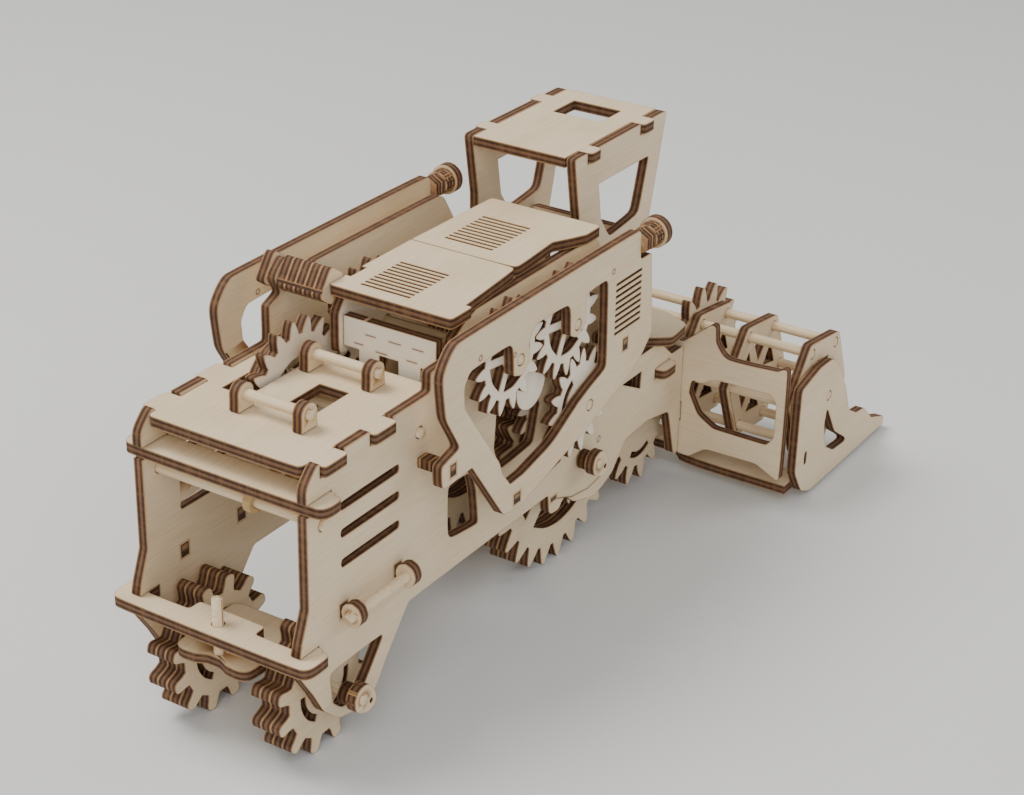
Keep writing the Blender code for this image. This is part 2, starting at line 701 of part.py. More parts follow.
def make_lamp(side, sign):
    """A stack on the cover's front corner: a six-sided block, a small disc and a large one."""
    centre = (sign * COVER_MID, LAMP_Z)
    hexagon = circle(0, 0, 3.6, 6)
    middle = (LAMP_X[0] + LAMP_X[1]) / 2
    nut = sheet("lamp_nut", "YZ", middle, hexagon, centre=centre, thick=LAMP_X[1] - LAMP_X[0])
    small = stick("lamp_small", (LAMP_X[1] - 1.0, *centre), (LAMP_X[2] + 1.0, *centre), 3.7, 14)
    large = stick("lamp_large", (LAMP_X[2], *centre), (LAMP_X[3], *centre), 4.6, 18)
    return joined("lamp_" + side, [nut, small, large])


# ---------------------------------------------------------------- cab

ROOF_TABS = [(140.0, 145.6), (169.4, 175.6)]


def cab_z(share):
    """A height in the cab, as a share of the way from its floor to its roof."""
    return CAB_FLOOR_TOP + share * (ROOF_TOP - CAB_FLOOR_TOP)


def make_cab_side(side, sign):
    outline = rounded([
        (137.2, cab_z(0.284), 2), (150.0, cab_z(0.191), 4), (158.5, CAB_FLOOR_TOP + FIT, 1),
        (169.0, CAB_FLOOR_TOP + FIT, 3), (176.8, cab_z(0.523), 6),
        (CAB_FRONT, ROOF_TOP, 1), (CAB_REAR, ROOF_TOP, 1), (136.4, cab_z(0.713), 2),
    ])
    window = rounded([
        (146.4, cab_z(0.828)), (175.0, cab_z(0.828), 1), (170.2, cab_z(0.570), 3),
        (153.6, cab_z(0.542), 3), (148.4, cab_z(0.654), 2),
    ])
    flat = sheet("cab_side_" + side, "XZ", sign * CAB_MID, outline, [window])
    wide = CAB_OUT + 5
    notches = [
        ((low - FIT, -wide, ROOF_TOP - PLY - FIT), (high + FIT, wide, ROOF_TOP + 5))
        for low, high in ROOF_TABS
    ]
    return finish(cut_boxes(flat, notches))


def make_cab():
    inside = CAB_OUT - PLY - FIT
    tab_out = CAB_OUT + 1.2
    right = []
    for low, high in ROOF_TABS:
        right += [(low, -inside), (low, -tab_out, 1), (high, -tab_out, 1), (high, -inside)]
    left = [(u, -v, *rest) for u, v, *rest in reversed(right)]
    front = CAB_FRONT - 1
    outline = [(CAB_REAR, -inside), *right, (front, -inside), (front, inside), *left, (CAB_REAR, inside)]
    plate("cab_roof", "XY", ROOF_TOP - PLY / 2, rounded(outline), [box(163.8, -8.0, 176.0, 8.0, 0.5)])
    low = CAB_FLOOR_TOP + FIT
    front = rounded([(-inside, low), (inside, low), (inside, cab_z(0.517), 1), (-inside, cab_z(0.517), 1)])
    window = box(-9.5, cab_z(0.238), 9.5, cab_z(0.439), 1)
    plate("cab_front_panel", "YZ", 166.0, front, [window])
    between = PANEL_IN - FIT
    neck = FRONT_WHEEL_MID - FRONT_WHEEL_WIDE / 2 - 1.0
    step = PANEL_OUT + 4.6
    floor = rounded([
        (140.0, -neck), (156.5, -neck), (156.5, -between), (165.0, -between),
        (171.0, -step, 3), (182.0, -step + 1.0, 3), (186.0, -21.0, 2),
        (186.0, 21.0, 2), (182.0, step - 1.0, 3), (171.0, step, 3), (165.0, between),
        (156.5, between), (156.5, neck), (140.0, neck),
    ])
    plate("cab_floor", "XY", CAB_FLOOR_TOP - PLY / 2, floor)


# ---------------------------------------------------------------- header


def make_feeder_plate():
    """The cross plate between the arms, with tabs that stand out past them."""
    low, high = FEEDER_TABS
    inside = PANEL_IN - FIT
    out = PANEL_OUT + 3.2
    outline = [
        (low - 8, -inside), (low, -inside), (low, -out, 2),
        (high, -out, 2), (high, -inside), (high + 4, -inside),
        (high + 4, inside), (high, inside), (high, out, 2), (low, out, 2), (low, inside), (low - 8, inside),
    ]
    return plate("feeder_plate", "XY", FEEDER_TOP - PLY / 2, rounded(outline))


def make_back_plate():
    """The plate behind the reel: two wings with rounded windows, joined by a strip above the gears."""
    inner = PANEL_IN + 0.4
    outer = HEADER_OUT - PLY - FIT
    lock = PANEL_OUT + FIT
    gear_tip = (REEL_GEAR_TEETH / 2 + TOOTH_TIP) * WHEEL_MODULE
    strip = REEL[1] + math.sqrt(gear_tip**2 - (REEL[0] - BACK_PLATE - PLY / 2) ** 2) + 0.8

    def at(share):
        return inner + share * (outer - inner)

    wing = [
        (inner, strip, 0.5), (inner, 28.2), (lock, 28.2), (lock, 21.8), (inner, 21.8), (inner, 14.0, 2),
        (at(0.069), 10.2, 1.5), (at(0.175), 10.2, 2), (at(0.317), 14.4, 4),
        (at(0.783), 14.6, 4), (outer, 10.4, 1), (outer, 49.4, 1), (at(0.915), 47.2, 2),
        (at(0.677), 46.6, 4), (at(0.439), 46.4, 4), (at(0.354), 51.0, 3),
        (at(0.344), 56.4, 1), (at(0.302), 56.4, 1), (at(0.063), 48.6, 2),
    ]
    window = [
        (at(0.138), 32.0, 2), (at(0.228), 25.4, 4), (at(0.376), 22.0, 4), (at(0.862), 21.8, 2),
        (at(0.926), 25.0, 2), (at(0.926), 36.4, 2), (at(0.868), 39.2, 2), (at(0.360), 38.8, 3),
        (at(0.254), 36.2, 3), (at(0.159), 36.6, 1),
    ]
    mirrored = [(-y, *rest) for y, *rest in reversed(wing)]
    windows_both = [rounded(window), rounded([(-y, *rest) for y, *rest in reversed(window)])]
    return plate("header_back", "YZ", BACK_PLATE, rounded(wing + mirrored), windows_both)


def make_end_plate(side, sign):
    """The crop divider at the end of the header, pointed in front."""
    rear = BACK_PLATE - PLY / 2
    reel_x, reel_z = REEL
    outline = rounded([
        (rear + 4.6, 40.8, 2), (rear + 4.4, 12.6, 5), (197.6, 4.0, 5), (204.0, 1.4, 4), (246.0, 1.4, 4),
        (HEADER_TIP, 1.4, 0.6), (HEADER_TIP, 4.4, 0.8), (249.0, 8.2, 2), (242.0, 14.6, 1.5),
        (236.0, 15.4, 3), (229.6, 19.0, 4), (225.4, 29.0, 6), (219.4, 38.0, 4), (213.6, 43.4, 3),
        (205.0, 43.6, 4),
    ])
    drop = rounded([
        (211.9, 26.4, 1), (210.8, 21.0, 4), (213.0, 13.0, 3), (219.6, 9.0, 3), (231.0, 8.0, 0.8),
        (219.6, 15.6, 6), (213.2, 25.6, 1),
    ])
    slot = box(197.8, 13.0, 199.6, 17.4, 0.6)
    level = sign * HEADER_MID
    return plate("header_end_" + side, "XZ", level, outline, [circle(reel_x, reel_z, BORE), drop, slot])


def make_cross_board():
    """The low board across the header, under the reel."""
    half = HEADER_OUT - PLY - FIT
    outline = rounded([
        (192.4, -half), (200.0, -half), (204.6, -half + 8, 3),
        (204.6, half - 8, 3), (200.0, half), (192.4, half),
        (192.4, 26.0), (197.6, 21.0, 3), (197.6, -21.0, 3), (192.4, -26.0),
    ])
    return plate("header_board", "XY", 5.6, outline)


def make_reel():
    x, z = REEL
    reach = HEADER_OUT
    finish(stick("reel_shaft", (x, -reach, z), (x, reach, z)), STICK_WOOD)
    turns = [REEL_TURN + index * math.pi / 3 for index in range(6)]
    hexagon = rounded([(REEL_STAR * math.cos(a), REEL_STAR * math.sin(a), 2) for a in turns])
    rods = [circle(REEL_ROD_CIRCLE * math.cos(a), REEL_ROD_CIRCLE * math.sin(a), BORE, 8) for a in turns]
    gaps = []
    for a in turns:
        middle = a + math.radians(30)
        near = (4.6 * math.cos(middle), 4.6 * math.sin(middle))
        far = [(12.2 * math.cos(middle + turn), 12.2 * math.sin(middle + turn)) for turn in (0.38, -0.38)]
        gaps.append([near, *reversed(far)])
    for spot, level in STAR_PLACES.items():
        for side, sign in (("right", -1), ("left", 1)):
            plate(
                f"reel_star_{spot}_{side}", "XZ", sign * level, hexagon,
                [circle(0, 0, BORE, 8), *rods, *gaps], centre=REEL,
            )
    length = STAR_PLACES["outer"] + PLY / 2
    for index, a in enumerate(turns):
        u, v = step_from(REEL, REEL_ROD_CIRCLE, a)
        finish(stick(f"reel_rod_{index + 1}", (u, -length, v), (u, length, v), sides=8), STICK_WOOD)


# ---------------------------------------------------------------- moving train


def make_gear(name, centre, phase, level, holes):
    return sheet(name, "XZ", level, gear_outline(GEAR_TEETH, GEAR_MODULE, phase), holes, centre)


def make_train():
    spokes = windows(5, 3.6, 9.6, 2.4, turn=0.5, steps=2)
    bore = circle(0, 0, BORE)
    x, z = RING
    outline = gear_outline(RING_TEETH, GEAR_MODULE, RING_PHASE)
    plate("winding_ring", "XZ", TRAIN_MID, outline, [circle(0, 0, 10.6, 24)], RING)
    hub_level = TRAIN_MID + PLY + FIT
    hub_side = windows(4, 5.2, 12.4, 3.4, turn=0.3)
    hub = sheet("ring_hub", "XZ", hub_level, circle(0, 0, 15.4, 24), hub_side, RING)
    reach = PANEL_OUT + 1.0
    shaft = stick("ring_shaft", (x, -reach, z), (x, reach, z))
    drum = stick("drum", (x, -8.6, z), (x, -3.4, z), DRUM, 14)
    joined("ring_hub", [hub, shaft, drum])

    cover_face = COVER_MID + PLY / 2
    x, z = GEAR_A
    inner = make_gear("gear_a_inner", GEAR_A, A_PHASE, TRAIN_MID, spokes)
    shaft = stick("shaft_a", (x, -cover_face, z), (x, TRAIN_MID + PLY / 2 + 1.0, z))
    joined("gear_a_inner", [inner, shaft])
    finish(make_gear("gear_a", GEAR_A, A_PHASE, -GEAR_MID, spokes + [bore]))

    x, z = GEAR_B
    peg = stick("peg_b", (x, -cover_face, z), (x, -PANEL_IN + 1.0, z))
    joined("gear_b", [make_gear("gear_b", GEAR_B, B_PHASE, -GEAR_MID, spokes), peg])

    x, z = GEAR_C
    slot = sector(7.6, 9.8, math.radians(118), math.radians(242), 5)
    finish(make_gear("gear_c", GEAR_C, C_PHASE, -GEAR_MID, [slot, bore]))
    inner = make_gear("gear_c_inner", GEAR_C, C_PHASE, -INNER_GEAR_MID, spokes)
    shaft = stick("shaft_c", (x, -cover_face, z), (x, -INNER_GEAR_MID, z))
    joined("gear_c_inner", [inner, shaft])

    finish(make_gear("axle_gear", FRONT_AXLE, AXLE_PHASE, -INNER_GEAR_MID, spokes + [bore]))
    x, z = FRONT_AXLE
    joined("front_axle", axle_with_clips(x, z))
    rim = windows(4, 7.4, 23.4, 6.0, turn=math.pi / 4)
    for side, sign in (("right", -1), ("left", 1)):
        plate(
            "front_wheel_" + side, "XZ", sign * FRONT_WHEEL_MID, WHEEL_OUTLINE, [bore, *rim],
            FRONT_AXLE, FRONT_WHEEL_WIDE,
        )

    x, z = HEADER_GEAR
    crescents = [
        sector(8.2, 10.2, math.radians(235 + 120 * n), math.radians(305 + 120 * n), 4) for n in range(3)
    ]
    outline = gear_outline(HEADER_GEAR_TEETH, WHEEL_MODULE, HEADER_PHASE)
    level = -(FRONT_WHEEL_MID + PLY / 2)
    gear = sheet("header_gear", "XZ", level, outline, crescents, HEADER_GEAR, 2 * PLY)
    joined("header_gear", [gear, stick("header_peg", (x, level - PLY, z), (x, PANEL_OUT + 1.0, z))])
    outline = gear_outline(REEL_GEAR_TEETH, WHEEL_MODULE, REEL_PHASE)
    rods = [
        circle(REEL_ROD_CIRCLE * math.cos(a), REEL_ROD_CIRCLE * math.sin(a), BORE + 0.1, 8)
        for a in [REEL_TURN + index * math.pi / 3 for index in range(6)]
    ]
    plate("reel_gear", "XZ", level - PLY / 2, outline, [bore, *rods], REEL)


def axle_with_clips(x, z):
    """A stick across the model with a washer and a two-hole clip at each end."""
    end = PANEL_OUT + FIT + 2 * PLY
    pieces = [stick("axle", (x, -end - 0.5, z), (x, end + 0.5, z))]
    outline = rounded([(-3.4, -2.6, 3), (2.6, -5.4, 3), (6.6, -3.0, 3), (2.8, 3.6, 3), (-3.0, 3.6, 3)])
    for sign in (-1, 1):
        inner = sign * (end - 1.5 * PLY + 0.25)
        outer = sign * (end - PLY / 2)
        pieces.append(sheet("washer", "XZ", inner, circle(x, z, 3.0, 12), thick=PLY + 0.5))
        pieces.append(sheet("clip", "XZ", outer, outline, [circle(3.4, -2.2, 0.8, 6)], (x, z)))
    return pieces


def make_lever():
    """The laminated starting lever: a stack of sheets on a stick, on both sides of the ear."""
    tilt = math.radians(-35)
    block = []
    for u, v in rounded([(-3.2, -4.5, 1.2), (3.2, -4.5, 1.2), (3.2, 4.5, 1.2), (-3.2, 4.5, 1.2)]):
        block.append((u * math.cos(tilt) - v * math.sin(tilt), u * math.sin(tilt) + v * math.cos(tilt)))
    near = (ENGINE_LEFT + FIT, PANEL_IN - FIT)
    far = (PANEL_OUT + FIT, PANEL_OUT + FIT + PLY)
    pieces = [stick("lever", (LEVER[0], near[0] + 0.5, LEVER[1]), (LEVER[0], far[1] - 0.5, LEVER[1]))]
    for low, high in (near, far):
        pieces.append(sheet("block", "XZ", (low + high) / 2, block, centre=LEVER, thick=high - low))
    joined("start_lever", pieces)


def make_rear_axle():
    """The steering beam with its pin, its two brackets and the axle stick."""
    x, z = REAR_AXLE
    half = REAR_WHEEL_MID - REAR_WHEEL_WIDE / 2 - FIT
    beam_top = SHELF_LOW_TOP - PLY - 5.4
    outline = rounded([
        (-6.6, -half, 3), (x + 6.0, -half, 3), (x + 6.0, half, 3),
        (-6.6, half, 3), (-6.0, 5.0, 2), (-4.6, 2.0, 2), (-4.6, -2.0, 2), (-6.0, -5.0, 2),
    ])
    beam = sheet("beam", "XY", beam_top - PLY / 2, outline)
    pieces = [beam]
    for sign in (-1, 1):
        bracket = rounded([
            (x - 4, z - 3.4, 2), (x + 4, z - 3.4, 2), (x + 4, beam_top - 1), (x - 4, beam_top - 1),
        ])
        pieces.append(sheet("bracket", "XZ", sign * (half - PLY / 2 - 0.6), bracket))
    pieces += axle_with_clips(x, z)
    pieces.append(stick("pin", (PIVOT_X, 0, beam_top - 1.5), (PIVOT_X, 0, SHELF_LOW_TOP + 7.4)))
    joined("rear_beam", pieces)
    slots = [sector(8.0, 10.0, math.radians(55 + 120 * n), math.radians(125 + 120 * n), 4) for n in range(3)]
    for side, sign in (("right", -1), ("left", 1)):
        plate(
            "rear_wheel_" + side, "XZ", sign * REAR_WHEEL_MID, REAR_OUTLINE, [circle(0, 0, BORE), *slots],
            REAR_AXLE, REAR_WHEEL_WIDE,
        )


# ---------------------------------------------------------------- bodies

BODIES = {
    "start_lever_axis": (LEVER, ["start_lever"]),
    "ring_axis": (RING, ["winding_ring", "ring_hub"]),
    "gear_a_axis": (GEAR_A, ["gear_a", "gear_a_inner"]),
    "gear_b_axis": (GEAR_B, ["gear_b"]),
    "gear_c_axis": (GEAR_C, ["gear_c", "gear_c_inner"]),
    "front_axle_axis": (FRONT_AXLE, ["front_axle", "axle_gear", "front_wheel"]),
    "header_gear_axis": (HEADER_GEAR, ["header_gear"]),
    "reel_axis": (REEL, ["reel_gear", "reel_shaft", "reel_star", "reel_rod"]),
    "steering_axis": ((PIVOT_X, SHELF_LOW_TOP), ["rear_beam"]),
    "rear_wheels_axis": (REAR_AXLE, ["rear_wheel"]),
}
CARRIED = {"rear_wheels_axis": "steering_axis"}


def empty(name, x, z):
    obj = bpy.data.objects.new(name, None)
    obj.location = Vector((x, 0, z)) * MM
    MODEL.objects.link(obj)
    return obj


def hang_on_axes():
    """Parents each moving piece to an empty on its axis, and everything to the model's origin."""
    centre = (SHELF_LOW_REAR + HEADER_TIP) / 2
    root = empty("harvester_origin", 0, 0)
    pieces = [obj for obj in MODEL.objects if obj.type != "EMPTY"]
    helpers = list(CUTTERS.objects)
    taken = set()
    for name, (spot, starts) in BODIES.items():
        axis = empty(name, *spot)
        axis.parent = root
        if name in CARRIED:
            axis.parent = bpy.data.objects[CARRIED[name]]
            axis.matrix_parent_inverse = Matrix.Translation(-axis.parent.location)
        for obj in pieces:
            if obj.name.startswith(tuple(starts)) and obj.name not in taken:
                obj.parent = axis
                obj.matrix_parent_inverse = Matrix.Translation(-axis.location)
                taken.add(obj.name)
    for obj in pieces + helpers:
        if obj.name not in taken:
            obj.parent = root
    root.location = (-centre * MM, 0, 0)


def main():
    for obj in list(bpy.data.objects):
        bpy.data.objects.remove(obj, do_unlink=True)
    for collection in (MODEL, CUTTERS):
        bpy.context.scene.collection.children.link(collection)
    CUTTERS.hide_render = True
    both_sides(make_panel)
    make_shelves()
    make_deck()
    make_deck_grip("deck_grip_rear", 18.4, -12.6, 7.0)
    make_deck_grip("deck_grip_front", 46.4, -12.6, 7.0)
    both_sides(make_handrail)
    make_band()
    make_engine()
    both_sides(make_side_cover)
    both_sides(make_lamp)
    both_sides(make_cab_side)
    make_cab()
    make_feeder_plate()
    make_back_plate()
    make_cross_board()
    both_sides(make_end_plate)
    make_reel()
    make_train()
    make_lever()
    make_rear_axle()
    plate("spacer_disc", "XZ", -SPACER_MID, circle(0, 0, 7.2, 20), centre=(93.6, 72.9))
    hang_on_axes()
    bpy.context.view_layer.update()


main()
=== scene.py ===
"""Looks for the wooden combine harvester: laser-cut birch ply, round sticks and a rubber band.

Every sheet is taken from its CAD node, its arcs are made finer, and each face is marked as sheet
face, cut edge or stick, so that one set of materials can draw grain, plies and scorching.
"""

import json
import math

import bmesh
import bpy
from mathutils import Matrix, Vector
from mathutils.bvhtree import BVHTree

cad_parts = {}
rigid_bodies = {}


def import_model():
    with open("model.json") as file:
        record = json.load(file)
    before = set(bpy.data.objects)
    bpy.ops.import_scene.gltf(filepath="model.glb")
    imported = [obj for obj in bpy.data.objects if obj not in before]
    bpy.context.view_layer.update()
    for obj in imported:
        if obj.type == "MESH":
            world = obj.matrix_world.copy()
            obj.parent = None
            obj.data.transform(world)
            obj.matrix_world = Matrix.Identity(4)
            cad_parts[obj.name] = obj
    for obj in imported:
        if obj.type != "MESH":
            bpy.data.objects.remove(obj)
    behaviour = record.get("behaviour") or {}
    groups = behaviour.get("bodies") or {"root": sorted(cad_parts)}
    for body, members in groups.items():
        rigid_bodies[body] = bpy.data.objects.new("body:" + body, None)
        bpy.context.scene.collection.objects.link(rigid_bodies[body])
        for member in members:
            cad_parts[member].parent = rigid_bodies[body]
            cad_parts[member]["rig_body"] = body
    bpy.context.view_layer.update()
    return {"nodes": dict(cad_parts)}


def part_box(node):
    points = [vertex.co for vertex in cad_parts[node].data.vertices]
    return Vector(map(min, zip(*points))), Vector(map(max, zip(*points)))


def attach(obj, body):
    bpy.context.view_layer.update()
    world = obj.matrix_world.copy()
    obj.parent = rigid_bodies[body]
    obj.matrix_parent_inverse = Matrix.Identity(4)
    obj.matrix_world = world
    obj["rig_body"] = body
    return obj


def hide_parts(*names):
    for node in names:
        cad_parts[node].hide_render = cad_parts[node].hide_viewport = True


MM = 0.001
PLY = 3.0  # thickness of the sheet, mm
FACE, EDGE, STICK = 0.0, 1.0, 2.0  # kinds of face
TONE_SHARE = 0.4  # a face's tone is stored above its kind, scaled by this
MARK_SHIFT = 37.0  # moves each sheet to its own part of the grain, mm

# How arcs are made finer
MERGE = 0.003 * MM  # vertices nearer than this are one
FLAT_TURN = math.radians(0.6)  # faces that turn less than this are one flat
ARC_LOW, ARC_HIGH = math.radians(5), math.radians(52)  # turns between the flats of an arc
ARC_SHARE = 36  # share of each flat that its new corner arc takes, percent
ARC_STEPS = 3
SHARP = math.radians(28)  # an edge that turns more than this stays sharp
AREA_SHARES = (0.96, 1.004)  # new area over old, where no face has folded over
VOLUME_SHARES = (0.97, 1.012)
ALIGNED = 0.99  # a face's normal lies along an axis
FACE_NORMAL = 0.9  # a face is a sheet's face, not its cut edge
UNDER_FACE = 0.25 * MM  # where a face's body is measured, below its surface
STICK_END = 7.4 * MM * MM  # largest area of a stick's round end
STICK_SIDES = 40
STICK_BREAK = 0.2 * MM  # how far a stick's end is rounded off

# Wood colours, linear
GOLD = (0.50, 0.31, 0.14, 1)
CHAR = (0.030, 0.014, 0.009, 1)
RIM = (0.48, 0.290, 0.130, 1)
UNDER_RIM = (0.26, 0.130, 0.055, 1)
BURNT = (0.050, 0.024, 0.015, 1)

# Camera, fitted to the view: place in metres, turns in radians, focal length in mm
EYE = (-0.4801, -0.3063, 0.3323)
YAW = 0.56200
PITCH = 0.46433
ROLL = 0.02225
LENS = 77.0

# Nodes that hold a round stick, alone or with sheets
STICK_ONLY = ("reel_rod", "reel_shaft", "band_bar")
WITH_STICKS = STICK_ONLY + (
    "deck_grip", "handrail", "front_axle", "gear_", "ring_hub", "header_gear", "rear_beam",
)

# Sheets cut from the palest wood
PALE = ("gear_", "winding_ring", "engine_wall", "axle_gear", "spacer_disc")

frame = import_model()


# ---------------------------------------------------------------- finer meshes


def through(tree, point, axis):
    """Material along an axis through a point inside a body: (thickness, lower end), in mm."""
    away = Vector([1.0 if axis == i else 0.0 for i in range(3)])
    up = tree.ray_cast(point, away)[3]
    down = tree.ray_cast(point, -away)[3]
    if up is None or down is None:
        return 0.0, 0.0
    return (up + down) / MM, (point[axis] - down) / MM


def widest_axis(bm):
    """The axis that most of the surface faces, which is the sheet's own normal."""
    shares = [0.0, 0.0, 0.0]
    for face in bm.faces:
        for axis in range(3):
            if abs(face.normal[axis]) > ALIGNED:
                shares[axis] += face.calc_area()
    return shares.index(max(shares))


def double_area(triangle):
    a, b, c = (loop.vert.co for loop in triangle)
    return (b - a).cross(c - a).length


def inside_point(triangles):
    """A point just under the middle of a face's biggest triangle."""
    biggest = max(triangles, key=double_area)
    middle = sum((loop.vert.co for loop in biggest), Vector()) / 3
    return middle - biggest[0].face.normal * UNDER_FACE


def sort_face(face, triangles, tree, main_axis, has_sticks):
    """(kind, axis of the sheet's normal, where that sheet starts along it)."""
    if has_sticks and len(face.verts) >= 8 and face.calc_area() < STICK_END:
        return STICK, main_axis, 0.0
    point = inside_point(triangles)
    found = {}
    for axis in range(3):
        thick, low = through(tree, point, axis)
        layers = round(thick / PLY)
        if 1 <= layers <= 3 and abs(thick - layers * PLY) < 0.1:
            found[axis] = low
    if has_sticks and not found:
        return STICK, main_axis, 0.0
    axis = main_axis if main_axis in found or not found else min(found)
    low = found.get(axis, through(tree, point, axis)[1])
    kind = FACE if abs(face.normal[axis]) > FACE_NORMAL else EDGE
    return kind, axis, low


def finer(bm, whole_faces):
    """Turns the corners between the flats of each arc into small arcs of their own."""
    if whole_faces:
        bmesh.ops.dissolve_limit(bm, angle_limit=FLAT_TURN, verts=bm.verts, edges=bm.edges)
    else:
        bmesh.ops.join_triangles(
            bm, faces=bm.faces, angle_face_threshold=FLAT_TURN, angle_shape_threshold=math.pi,
        )
    arcs = [
        edge for edge in bm.edges
        if len(edge.link_faces) == 2 and ARC_LOW < edge.calc_face_angle(0.0) < ARC_HIGH
    ]
    if arcs:
        bmesh.ops.bevel(
            bm, geom=arcs, offset=ARC_SHARE, offset_type="PERCENT", segments=ARC_STEPS,
            profile=0.5, affect="EDGES", clamp_overlap=True,
        )


def mark(bm, tree, main_axis, has_sticks, shift, tone):
    """Stores each corner's place in its sheet, and each face's kind, for the materials to read."""
    place = bm.loops.layers.float_vector.new("sheet_place")
    kind = bm.faces.layers.float.new("sheet_kind")
    parts = {}
    for triangle in bm.calc_loop_triangles():
        parts.setdefault(triangle[0].face.index, []).append(triangle)
    for face in bm.faces:
        face.smooth = True
        sort, axis, low = sort_face(face, parts[face.index], tree, main_axis, has_sticks)
        face[kind] = sort + TONE_SHARE * tone
        along, across = [(1, 2), (0, 2), (0, 1)][axis]
        for loop in face.loops:
            at = loop.vert.co / MM
            loop[place] = (at[along] + shift, at[across] - shift, (at[axis] - low) / PLY)


def measure(bm):
    """Area and volume of the triangles that the faces turn into."""
    copy = bm.copy()
    bmesh.ops.triangulate(copy, faces=copy.faces)
    found = sum(face.calc_area() for face in copy.faces), copy.calc_volume()
    copy.free()
    return found


def read_node(node):
    bm = bmesh.new()
    bm.from_mesh(node.data)
    bmesh.ops.remove_doubles(bm, verts=bm.verts, dist=MERGE)
    bmesh.ops.recalc_face_normals(bm, faces=bm.faces)
    return bm


def finer_copy(node):
    """The node's mesh with finer arcs, or as it is where that would fold a face over."""
    area, volume = measure(read_node(node))
    for whole_faces in (True, False):
        bm = read_node(node)
        finer(bm, whole_faces)
        new_area, new_volume = measure(bm)
        area_holds = AREA_SHARES[0] < new_area / area < AREA_SHARES[1]
        if area_holds and VOLUME_SHARES[0] < new_volume / volume < VOLUME_SHARES[1]:
            return bm
        bm.free()
    return read_node(node)


def as_object(name, bm):
    """Turns a bmesh into an object in the scene, smooth but for its sharp edges."""
    mesh = bpy.data.meshes.new(name)
    bm.to_mesh(mesh)
    bm.free()
    mesh.set_sharp_from_angle(angle=SHARP)
    made = bpy.data.objects.new(name, mesh)
    bpy.context.scene.collection.objects.link(made)
    return made


def made_finer(name, node, shift):
    source = read_node(node)
    tree = BVHTree.FromBMesh(source)
    main_axis = widest_axis(source)
    source.free()
    bm = finer_copy(node)
    bm.faces.index_update()
    tone = 0.0 if name.startswith(PALE) else 0.25 + 0.75 * ((shift * 0.618) % 1.0)
    mark(bm, tree, main_axis, name.startswith(WITH_STICKS), shift, tone)
    bmesh.ops.triangulate(bm, faces=[face for face in bm.faces if len(face.verts) > 4])
    return as_object(name + "_wood", bm)


def round_stick(name):
    """A smooth stick in place of a many-sided one, with its ends just broken."""
    low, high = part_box(name)
    size = high - low
    axis = max(range(3), key=lambda i: size[i])
    radius = max(size[i] for i in range(3) if i != axis) / 2
    profile = [(0.0, 0.0), (radius - STICK_BREAK, 0.0), (radius, STICK_BREAK)]
    profile += [(r, size[axis] - h) for r, h in reversed(profile)]
    bm = bmesh.new()
    rings = []
    for r, h in profile:
        spin = [2 * math.pi * step / STICK_SIDES for step in range(STICK_SIDES if r else 1)]
        rings.append([bm.verts.new((r * math.cos(a), r * math.sin(a), h)) for a in spin])
    for lower, upper in zip(rings, rings[1:]):
        for step in range(STICK_SIDES):
            here = [lower[step % len(lower)], lower[(step + 1) % len(lower)]]
            there = [upper[(step + 1) % len(upper)], upper[step % len(upper)]]
            bm.faces.new(list(dict.fromkeys(here + there)))
    turn = Vector((0, 0, 1)).rotation_difference(Vector([float(axis == i) for i in range(3)]))
    foot = (low + high) / 2
    foot[axis] = low[axis]
    place = Matrix.Translation(foot) @ turn.to_matrix().to_4x4()
    bmesh.ops.transform(bm, matrix=place, verts=bm.verts)
    bmesh.ops.recalc_face_normals(bm, faces=bm.faces)
    for face in bm.faces:
        face.smooth = True
    return as_object(name + "_wood", bm)


# ---------------------------------------------------------------- materials


